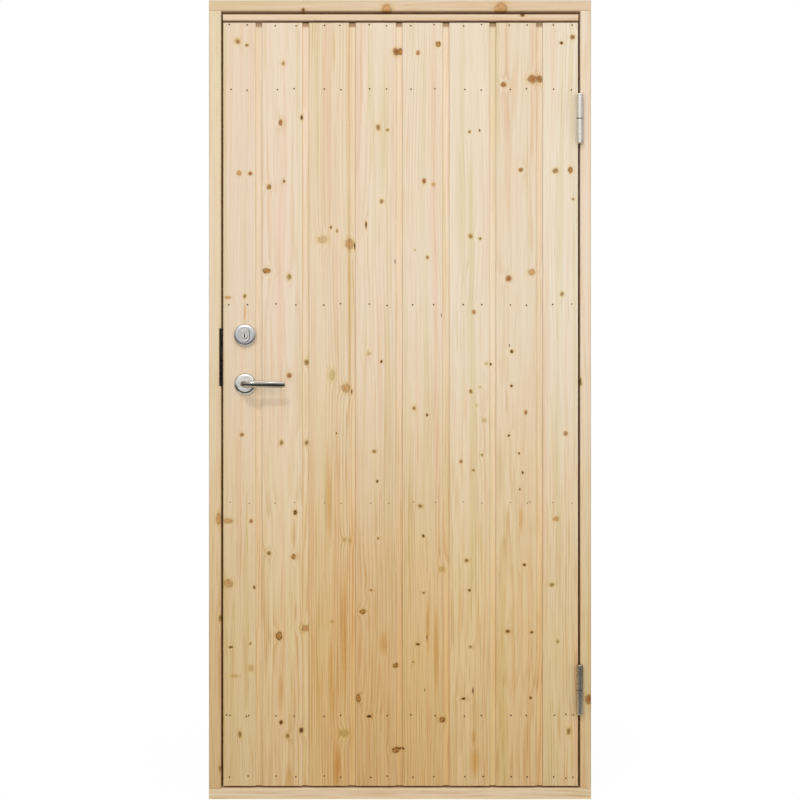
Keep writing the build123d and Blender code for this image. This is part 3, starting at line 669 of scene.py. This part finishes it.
for place_name in ("upper", "lower"):
    ring_low, ring_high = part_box(place_name + "_hinge_washer")
    joint_z = (ring_low[2] + ring_high[2]) * 500
    leaf_places = [(leaf_edge_x, y, joint_z + z) for y, z in LEAF_SCREWS]
    jamb_places = [(jamb_edge_x, y, joint_z - z) for y, z in JAMB_SCREWS]
    leaf_screws = screw_heads(place_name + "_hinge_leaf_screws", HINGE_SCREW_R, (1, 0, 0), leaf_places)
    jamb_screws = screw_heads(place_name + "_hinge_frame_screws", HINGE_SCREW_R, (-1, 0, 0), jamb_places)
    for screws, body in ((leaf_screws, "leaf"), (jamb_screws, "frame")):
        screws.data.materials.append(hinge_screw_steel)
        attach(screws, body)

# Handle set: a lever on a round rose, on both sides, in polished nickel-plated brass.
# The lever is held on the square spindle that passes through the lock.


def polished(name, colour, rough):
    """Bright metal with a faint haze and hairline handling marks."""
    made, shader, place = finish(name, Metallic=1.0)
    at = place.vector("MULTIPLY", place, (0.12, 0.4, 0.4))
    haze = at.node("ShaderNodeTexNoise", None, {"Vector": at, "Scale": 0.5, "Detail": 3.0})
    hair = at.node("ShaderNodeTexNoise", None, {"Vector": at, "Scale": 9.0, "Detail": 3.0})
    dull = tuple(part * 0.82 for part in colour[:3]) + (1.0,)
    shade = (haze.step(0.4, 0.75) * 0.7).over(colour, dull)
    shade.into(shader, "Base Color")
    (rough + haze.step(0.35, 0.75) * 0.10 + hair.step(0.55, 0.8) * 0.06).into(shader, "Roughness")
    bump = {"Strength": 0.04, "Distance": 0.0001, "Height": hair}
    hair.node("ShaderNodeBump", None, bump).into(shader, "Normal")
    return made, shader, place, shade


# The lever's upper edge starts CROWN above the spindle and falls a little along its reach.
CROWN = 5.4
LEVER_REACH = 96
LEVER_FALL = 0.040
lever_finish = polished("polished_nickel", tint(208, 204, 194), 0.12)
lever_nickel, lever_shader, lever_place, lever_shade = lever_finish
rose_low, rose_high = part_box("outside_rose")
crown_z = (rose_low[2] + rose_high[2]) * 500 + CROWN
tip_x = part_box("outside_lever")[1][0] * 1000
lever_x, lever_z = lever_place.node("ShaderNodeSeparateXYZ", None, {0: lever_place}, out=(0, 2))
# Below its upper edge the lever's front is painted dark: a painted dark reflection.
rise = lever_z - crown_z + (lever_x - tip_x + LEVER_REACH) * LEVER_FALL
dark_reflection = rise.step(0.9, -0.7) * rise.step(-12.5, -9.0)
(dark_reflection * 0.60).over(lever_shade, tint(84, 77, 60)).into(lever_shader, "Base Color")
dress(lever_nickel, "outside_lever", "inside_lever")
dress(polished("rose_nickel", tint(222, 220, 214), 0.15)[0], "outside_rose", "inside_rose")
dress(steel("spindle_steel", tint(150, 148, 144), 0.4, 0.9, tint(110, 106, 100)), "spindle")

# Cylinder lock: a satin ring round an oval cylinder with its key plug, on both sides.
# The ring is brushed round its middle, the cylinder is plain satin nickel.

collar_low, collar_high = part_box("outside_collar")
COLLAR_MIDDLE = ((collar_low[0] + collar_high[0]) * 500, 0, (collar_low[2] + collar_high[2]) * 500)
OVAL_R = 10
OVAL_STRAIGHT = 6
PLUG_R = 6.5
PLUG_DROP = 2.5
KEYWAY_HALF = 1.0
KEYWAY_TALL = 4.5

satin, satin_shader, satin_place = finish("satin_ring", Metallic=1.0)
from_middle = satin_place.vector("SUBTRACT", satin_place, COLLAR_MIDDLE)
reach = from_middle.vector("MULTIPLY", from_middle, (1, 0, 1)).length()
turned = reach.node("ShaderNodeCombineXYZ", None, {0: reach * 3.0})
turned_lines = turned.node("ShaderNodeTexNoise", None, {"Vector": turned, "Scale": 1.0, "Detail": 3.0})
satin_shade = (turned_lines.step(0.35, 0.7) * 0.6).over(tint(216, 216, 217), tint(194, 194, 196))
side, tall = from_middle.node("ShaderNodeSeparateXYZ", None, {0: from_middle}, out=(0, 2))
past_straight = side.math("MAXIMUM", side.math("ABSOLUTE", tall) - OVAL_STRAIGHT, 0.0)
from_oval = side.node("ShaderNodeCombineXYZ", None, {0: side, 2: past_straight}).length() - OVAL_R
# Painted shadow round the oval cylinder on the ring, darkest on its lower right.
shadow_side = (side * 0.8 - tall * 0.45).step(-2.0, 8.0)
seam_shadow = from_oval.step(2.2, 0.5) * (0.25 + 0.75 * shadow_side)
(seam_shadow * 0.85).over(satin_shade, tint(70, 68, 66)).into(satin_shader, "Base Color")
(0.30 + turned_lines * 0.14).into(satin_shader, "Roughness")
satin_bump = {"Strength": 0.06, "Distance": 0.0002, "Height": turned_lines}
turned_lines.node("ShaderNodeBump", None, satin_bump).into(satin_shader, "Normal")
dress(satin, "outside_collar", "inside_collar")

lock_finish = polished("satin_cylinder", tint(214, 213, 206), 0.20)
lock_nickel, lock_shader, lock_place, lock_shade = lock_finish
from_middle = lock_place.vector("SUBTRACT", lock_place, COLLAR_MIDDLE)
side, tall = from_middle.node("ShaderNodeSeparateXYZ", None, {0: from_middle}, out=(0, 2))
below = tall + PLUG_DROP
from_plug = side.node("ShaderNodeCombineXYZ", None, {0: side, 2: below}).length() - PLUG_R
# Painted shadow in the seam round the key plug, darkest at its bottom.
shadow_depth = 0.30 + 0.70 * below.step(3.0, -4.0)
ring_shadow = from_plug.step(-0.3, 0.4) * from_plug.step(1.8, 0.9) * shadow_depth
lock_shade = (ring_shadow * 0.9).over(lock_shade, tint(62, 60, 56))
lock_shade = (from_plug.step(0.0, -1.2) * 0.6).over(lock_shade, tint(226, 224, 212))
# The keyway is a dark mark on the flat plug: painted shade where the slot would be.
key_across = side.math("ABSOLUTE", side).step(KEYWAY_HALF + 0.5, KEYWAY_HALF)
key_along = side.math("ABSOLUTE", below).step(KEYWAY_TALL + 0.6, KEYWAY_TALL - 0.2)
(key_across * key_along).over(lock_shade, tint(38, 35, 30)).into(lock_shader, "Base Color")
dress(lock_nickel, "outside_cylinder", "inside_cylinder")

# Setting: a pale floor, a white surround, three lamps and a camera straight in front.
# One lamp is small and high at the left, one broad and weak in front, one behind for the inner side.

VIEW_FROM = 3.5
VIEW_HEIGHT = 0.929
VIEW_WIDTH = 1.862
FLOOR_FRONT = -0.6
FLOOR_BACK = 2.4
FLOOR_HALF = 1.5
FLOOR_DROP = 0.0005
SURROUND = 0.60

# The soft shade on the floor, in millimetres.
SHADE_MIDDLE = (0, 500, 0)
SHADE_OUTER = 1050
SHADE_INNER = 400
SHADE_DEPTH = 0.08

floor_mesh = bmesh.new()
bmesh.ops.create_grid(floor_mesh, x_segments=8, y_segments=8, size=1.0)
floor_reach = (FLOOR_HALF, (FLOOR_BACK - FLOOR_FRONT) / 2, 1)
floor_middle = (0, (FLOOR_BACK + FLOOR_FRONT) / 2, -FLOOR_DROP)
bmesh.ops.scale(floor_mesh, vec=floor_reach, verts=floor_mesh.verts)
bmesh.ops.translate(floor_mesh, vec=floor_middle, verts=floor_mesh.verts)
floor_data = bpy.data.meshes.new("floor")
floor_mesh.to_mesh(floor_data)
floor_mesh.free()
floor = bpy.data.objects.new("floor", floor_data)
bpy.context.scene.collection.objects.link(floor)
floor_paint, floor_shader, floor_place = finish("floor_paint", Roughness=0.9)
floor_shader.inputs["Base Color"].default_value = (0.6, 0.6, 0.6, 1)
camera_ray, glossy_ray, clear_ray = floor_place.node(
    "ShaderNodeLightPath", out=("Is Camera Ray", "Is Glossy Ray", "Is Transmission Ray")
)
seen = floor_place.math("MAXIMUM", camera_ray, floor_place.math("MAXIMUM", glossy_ray, clear_ray))
glow = floor_place.node("ShaderNodeEmission", None, {"Color": (1, 1, 1, 1), "Strength": 1.0})
away = floor_place.vector("SUBTRACT", floor_place, SHADE_MIDDLE).length()
near = away.step(SHADE_OUTER, SHADE_INNER)
pale = floor_place.node("ShaderNodeBsdfDiffuse", None, {"Color": (0.92, 0.92, 0.92, 1)})
kept_shade = floor_place.node("ShaderNodeMixShader", None, {0: near * SHADE_DEPTH, 1: glow, 2: pale})
plain_floor = Mark(floor_place.tree, floor_shader.outputs[0])
shown = floor_place.node("ShaderNodeMixShader", None, {0: seen, 1: plain_floor, 2: kept_shade})
shown.into(floor_paint.node_tree.nodes["Material Output"], "Surface")
floor_data.materials.append(floor_paint)

world = bpy.data.worlds.new("studio")
bpy.context.scene.world = world
world.use_nodes = True
surround = world.node_tree.nodes["Background"]
surround.inputs["Color"].default_value = (1, 1, 1, 1)
surround.inputs["Strength"].default_value = SURROUND
plain = Mark(world.node_tree, surround.outputs[0])
camera_ray, glossy_ray, clear_ray = plain.node(
    "ShaderNodeLightPath", out=("Is Camera Ray", "Is Glossy Ray", "Is Transmission Ray")
)
way = plain.node("ShaderNodeTexCoord", out="Generated")
aside, up = way.node("ShaderNodeSeparateXYZ", None, {0: way}, out=(0, 2))
flank = way.math("ABSOLUTE", aside).step(0.55, 0.95)
overhead = 0.08 + up.step(-0.09, 0.02) * (0.96 - 0.5 * flank) + up.step(0.45, 0.9) * 0.3
room = plain.node("ShaderNodeBackground", None, {"Color": (1, 1, 1, 1), "Strength": overhead})
white = plain.node("ShaderNodeBackground", None, {"Color": (1, 1, 1, 1), "Strength": 1.0})
lit = plain.node("ShaderNodeMixShader", None, {0: glossy_ray, 1: plain, 2: room})
straight = plain.math("MAXIMUM", camera_ray, clear_ray)
sky = plain.node("ShaderNodeMixShader", None, {0: straight, 1: lit, 2: white})
sky.into(world.node_tree.nodes["World Output"], "Surface")


def lamp(name, place, aim, size, power):
    light = bpy.data.lights.new(name, "AREA")
    light.shape = "RECTANGLE"
    light.size = size[0]
    light.size_y = size[1]
    light.energy = power
    made = bpy.data.objects.new(name, light)
    made.location = place
    made.rotation_euler = (Vector(aim) - Vector(place)).to_track_quat("-Z", "Y").to_euler()
    bpy.context.scene.collection.objects.link(made)
    return made


lamp("key_lamp", place=(-0.75, -3.2, 3.7), aim=(0, 0, 0.95), size=(0.5, 0.4), power=36)
front = lamp("front_lamp", place=(0.2, -2.1, 1.35), aim=(0.1, 0, 1.15), size=(2.4, 1.4), power=14)
front.visible_camera = False
front.visible_glossy = False
rear = lamp("rear_lamp", place=(0.6, 2.8, 2.6), aim=(0, 0, 0.95), size=(2.4, 1.6), power=60)
rear.visible_camera = False
rear.visible_glossy = False

lens = bpy.data.cameras.new("camera")
lens.sensor_fit = "HORIZONTAL"
lens.sensor_width = 36
lens.lens = lens.sensor_width * VIEW_FROM / VIEW_WIDTH
camera = bpy.data.objects.new("camera", lens)
camera.location = (0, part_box("head")[0][1] - VIEW_FROM, VIEW_HEIGHT)
camera.rotation_euler = (math.pi / 2, 0, 0)
bpy.context.scene.collection.objects.link(camera)
bpy.context.scene.camera = camera
bpy.context.scene.view_settings.view_transform = "Standard"
